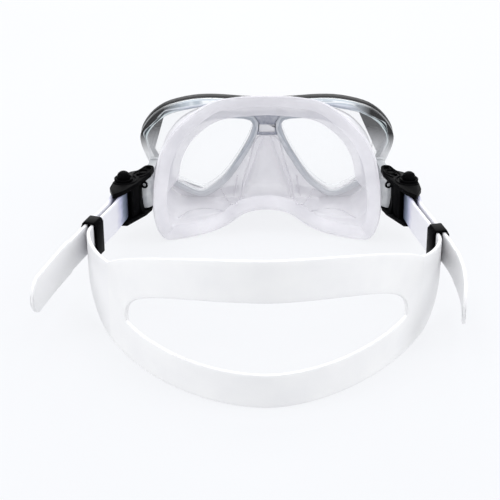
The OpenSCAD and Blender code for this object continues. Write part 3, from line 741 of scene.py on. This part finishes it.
def headBand():
    # the two middle rows are the slot's edges
    start = strap["cut"]
    half = strap["slotHalf"]
    before = [mix(start, turnAt(half), k / 6) for k in range(6)]
    inside = [turnAt(half * math.cos(math.pi * k / strap["cols"])) for k in range(strap["cols"] + 1)]
    after = [mix(turnAt(-half), 180 - start, k / 6) for k in range(1, 7)]
    columns = []
    for t in before + inside + after:
        p = bandPlan(t)
        gap = math.sqrt(max(0, 1 - (p.x / half) ** 2)) if abs(p.x) < half - 0.001 else 0
        lower = strap["slotMid"] - strap["slotDown"] * gap ** 0.25
        upper = strap["slotMid"] + strap["slotUp"] * gap
        columns.append((p, spread(0, lower, 8) + spread(upper, bandTop(p.x), 8)))
    return columns


ends = [bandPlan(strap["cut"]), bandPlan(180 - strap["cut"])]
bandPiece = ribbonPiece("head-band", headBand(), ends, True)
finishPiece(bandPiece, milkySilicone, "mask", ["head_strap"], 50)


def reachUv(obj, side):
    # UV x: rearward from the pivot in the buckle's own direction, in units of 100 mm
    mesh = obj.data
    while mesh.uv_layers:
        mesh.uv_layers.remove(mesh.uv_layers[0])
    layer = mesh.uv_layers.new(name="UVMap")
    one = sideSet[side]
    yaw = math.radians(one["yaw"])
    for face in mesh.loops:
        p = mesh.vertices[face.vertex_index].co / mm
        x, y = one["sign"] * p.x - strap["pivot"][0], p.y - strap["pivot"][1]
        layer.data[face.index].uv = ((x * math.sin(yaw) - y * math.cos(yaw)) / 100, p.z / 100)


def strapArm(side):
    # from the keeper to the head band
    one = sideSet[side]
    low, high = strap["mid"] - strap["width"] / 2, strap["mid"] + strap["width"] / 2
    start = planPoint(side, one["keeperU"], strap["midV"] - strap["layer"])
    leave = planPoint(side, one["keeperU"] + strap["past"], strap["midV"] - strap["layer"])
    cut = strap["cut"] if side == "right" else 180 - strap["cut"]
    finish = bandPlan(cut)
    yaw = math.radians(one["yaw"])
    away = Vector((one["sign"] * math.sin(yaw), -math.cos(yaw)))
    ahead = (bandPlan(cut + one["sign"]) - finish).normalized()
    reach = (finish - leave).length / 3
    made = [(start, spread(low, high, 8)), (mix(start, leave, 0.5), spread(low, high, 8))]
    for k in range(21):
        s = k / 20
        p = bezier(leave, leave + away * reach * 0.4, finish - ahead * reach * 1.3, finish, s)
        made.append((p, spread(mix(low, 0, ease(s)), mix(high, bandTop(finish.x), s ** 1.8), 8)))
    obj = ribbonPiece(f"strap-arm-{side}", made, [start, finish])
    pick(obj)
    bpy.ops.object.shade_smooth_by_angle(angle=math.radians(50))
    obj.data.materials.append(strapShadedSilicone)
    reachUv(obj, side)
    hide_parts(f"strap_end_{side}")
    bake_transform(obj)


def strapLoop(side):
    # inner layer, turn round the roller, outer layer and loose tail
    one = sideSet[side]
    low, high = strap["mid"] - strap["width"] / 2, strap["mid"] + strap["width"] / 2
    start = planPoint(side, one["keeperU"], strap["midV"] - strap["layer"])
    made = [(start, spread(low, high, 8))]
    joinIn, joinOut = (planPoint(side, strap["joinU"], strap["midV"] + s * strap["layer"]) for s in (-1, 1))
    for k in range(1, 5):
        made.append((mix(start, joinIn, k / 4), spread(low, high, 8)))
    for a in range(0, 181, 12):
        turn = math.radians(a)
        p = planPoint(side, strap["rollerU"] - strap["wrapR"] * math.sin(turn),
                      strap["rollerV"] - strap["wrapR"] * math.cos(turn))
        made.append((p, spread(low, high, 8)))
    leave = planPoint(side, one["keeperU"] + strap["past"], strap["midV"] + strap["layer"])
    for k in range(0, 6):
        made.append((mix(joinOut, leave, k / 6), spread(low, high, 8)))
    yaw, bend = math.radians(one["yaw"]), math.radians(one["bend"])
    radius = strap["tail"] / bend
    for k in range(41):
        s = 1 - (1 - k / 40) ** 1.6
        turn = yaw - bend * s
        x = one["sign"] * radius * (math.cos(turn) - math.cos(yaw))
        y = radius * (math.sin(turn) - math.sin(yaw))
        gone = s * strap["tail"]
        half = mix(strap["width"] / 2, strap["grip"] / 2, ease((gone - strap["shoulder"]) / 4))
        left = (strap["tail"] - gone) / (strap["grip"] / 2)
        if left < 1:
            half *= math.sqrt(max(0, 1 - (1 - left) ** 2)) + 0.03
        made.append((leave + Vector((x, y)), spread(strap["mid"] - half, strap["mid"] + half, 8)))
    obj = ribbonPiece(f"strap-loop-{side}", made, [start])
    reachUv(obj, side)
    finishPiece(obj, strapShadedSilicone, f"buckle_{side}", [f"strap_end_{side}"], 50)


for side in sides:
    strapArm(side)
    strapLoop(side)
print("strap made")

# buckles, buttons and keepers

buckleSet = {
    "top": 41.5, "pocketFrom": 40.2, "pocketTo": 43, "domeFoot": 41.35,
    "button": (16.2, 7.3), "eye": (-7.6, -0.5),
    "rail": [(9.6, 3.4), (5, 5), (0, 3.9), (-4, 3), (-7.6, 2.5), (-9.6, 1.7), (-10.6, -0.5), (-9.6, -2.7),
             (-7.6, -3.4), (-4, -3.7), (0, -4.2), (5, -3.4), (9.2, -1)],
    "pocket": [(3.9, -1.6), (8.2, 0.6), (7.6, 2.6), (3.8, 3.4)],
    "cove": [(-1.2, 16.6), (-4.9, 16.6), (-4.7, 17.3), (-3.6, 18), (-2.7, 19.5), (-2.1, 22), (-1.7, 26),
             (-1.2, 26)],
}
dome = {
    "ribs": 14, "depth": 0.035, "around": 84,
    "profile": [(4.15, 0), (4.2, 2.4), (4.15, 3.2), (3.85, 3.7), (3.6, 3.62), (3.35, 4.2), (3, 4.75),
                (2.7, 4.68), (2.45, 5.1), (2.05, 5.55), (1.7, 5.45), (1.35, 5.8), (0.9, 6.1), (0.45, 6.2)],
}


def atBuckle(side, u, v, z):
    p = planPoint(side, u, v)
    return Vector((p.x, p.y, z))


def ringPath(side, centre, radius, z, start=0, end=360, steps=28):
    whole = end - start == 360
    turns = [math.radians(mix(start, end, k / steps)) for k in range(steps + (0 if whole else 1))]
    return [atBuckle(side, centre[0] + radius * math.cos(t), centre[1] + radius * math.sin(t),
                     z) for t in turns]


def buckleBody(side):
    top = buckleSet["top"]
    obj = softCopy(f"buckle_{side}", f"buckle-{side}-shell", 0.4)
    pocket = [[tuple(atBuckle(side, u, v, z) * mm) for u, v in buckleSet["pocket"]]
              for z in (buckleSet["pocketFrom"], buckleSet["pocketTo"])]
    combine(obj, loftRings("pocket", pocket), "DIFFERENCE")
    rail = curveThrough([Vector(q) for q in buckleSet["rail"]], 3)
    parts = [
        tube("rail", [atBuckle(side, p.x, p.y, top) for p in rail], 0.62),
        tube("pinRim", ringPath(side, (0, 0), 3.1, top), 0.45, True),
        tube("eyeRim", ringPath(side, buckleSet["eye"], 2.15, top), 0.42, True),
        tube("collar", ringPath(side, buckleSet["button"], 5.6, top + 1), 0.6, True),
        tube("step", ringPath(side, buckleSet["button"], 8.3, top, -150, 25), 0.6),
        tube("lowRim", ringPath(side, (0, 0), 4.9, 16, -250, 70), 0.8),
    ]
    loop = [atBuckle(side, 7.7, -3.5 - 1.9 * math.cos(t), 35.9 + 1.9 * math.sin(t))
            for t in (math.radians(18 * k) for k in range(20))]
    parts.append(tube("loop", loop, 0.75, True))
    cove = [[tuple(atBuckle(side, u, v, z) * mm) for v, z in buckleSet["cove"]] for u in (7.1, 12)]
    parts.append(loftRings("cove", cove))
    joined(obj, parts)
    return finishPiece(obj, blackNylon, f"buckle_{side}", [f"buckle_{side}"])


def buttonDome(side):
    middle, foot, around = buckleSet["button"], buckleSet["domeFoot"], dome["around"]
    rings = []
    for r, h in dome["profile"]:
        ring = []
        for k in range(around):
            t = 2 * math.pi * k / around
            swell = r * (1 + dome["depth"] * (r / 4.2) * math.cos(dome["ribs"] * t))
            u, v = middle[0] + swell * math.cos(t), middle[1] + swell * math.sin(t)
            ring.append(tuple(atBuckle(side, u, v, foot + h) * mm))
        rings.append(ring)
    cap = loftRings("dome", rings)
    obj = softCopy(f"button_{side}", f"button-{side}-shell", 0.2)
    joined(obj, [cap])
    return finishPiece(obj, blackNylon, f"button_{side}", [f"button_{side}"], 30)


for side in sides:
    buckleBody(side)
    buttonDome(side)
    keeper = softCopy(f"keeper_{side}", f"keeper-{side}-shell", 0.7, 3)
    finishPiece(keeper, blackNylon, f"keeper_{side}", [f"keeper_{side}"])
print("buckles made")


# camera, floor and lights

cameraSet = {"aim": (0, -0.1526, 0.038), "distance": 0.9, "tilt": 26, "lens": 108.864, "shift": -0.034}
tilt = math.radians(cameraSet["tilt"])
back = Vector((0, -math.cos(tilt), math.sin(tilt)))
bpy.ops.object.camera_add(location=Vector(cameraSet["aim"]) + back * cameraSet["distance"])
camera = bpy.context.object
camera.rotation_euler = (math.radians(90) - tilt, 0, 0)
camera.data.sensor_width = 36
camera.data.lens = cameraSet["lens"]
camera.data.shift_x = cameraSet["shift"]
camera.data.clip_start = 0.01
bpy.context.scene.camera = camera

deselectAll()
bpy.ops.mesh.primitive_plane_add(size=9, location=(0, 0.5, -0.0004))
floor = bpy.context.object
floor.name = "floor"
paper, tree = newMaterial("palePaper")
where = addNode(tree, "ShaderNodeTexCoord")
grain = addNode(tree, "ShaderNodeTexNoise", {"Scale": 3.0, "Detail": 2.0}, {"Vector": (where, "Object")})
tint = stops(addNode(tree, "ShaderNodeValToRGB", None, {"Fac": (grain, "Fac")}),
             [(0.3, "#545558"), (0.7, "#57585b")])
sheet = addNode(tree, "ShaderNodeBsdfPrincipled",
                {"Roughness": 0.9, "Emission Color": linear("#f8f9fb"), "Emission Strength": 0.83},
                {"Base Color": (tint, 0)})
closeMaterial(tree, sheet)
floor.data.materials.append(paper)

lights = {
    "top": ((0, -0.1, 1.5), 1.6, 12, (0, -0.1, 0)),
    "behind": ((0, -1.9, 1.0), 1.2, 7, (0, -0.2, 0.04)),
    "left": ((-1.3, -0.5, 0.9), 0.9, 9, (0, -0.1, 0.03)),
    "right": ((1.3, -0.4, 0.9), 0.9, 9, (0, -0.1, 0.03)),
    "back": ((0, 1.3, 0.7), 1.2, 9, (0, -0.1, 0.03)),
}
for name, (place, size, power, target) in lights.items():
    bpy.ops.object.light_add(type="AREA", location=place)
    lamp = bpy.context.object
    lamp.name = name
    lamp.data.size = size
    lamp.data.energy = power
    lamp.rotation_euler = (Vector(target) - Vector(place)).to_track_quat("-Z", "Y").to_euler()
world = bpy.data.worlds.new("studio")
world.use_nodes = True
world.node_tree.nodes["Background"].inputs["Color"].default_value = linear("#f2f4f8")
world.node_tree.nodes["Background"].inputs["Strength"].default_value = 0.66
bpy.context.scene.world = world
bpy.context.scene.view_settings.view_transform = "Standard"
print("scene set")
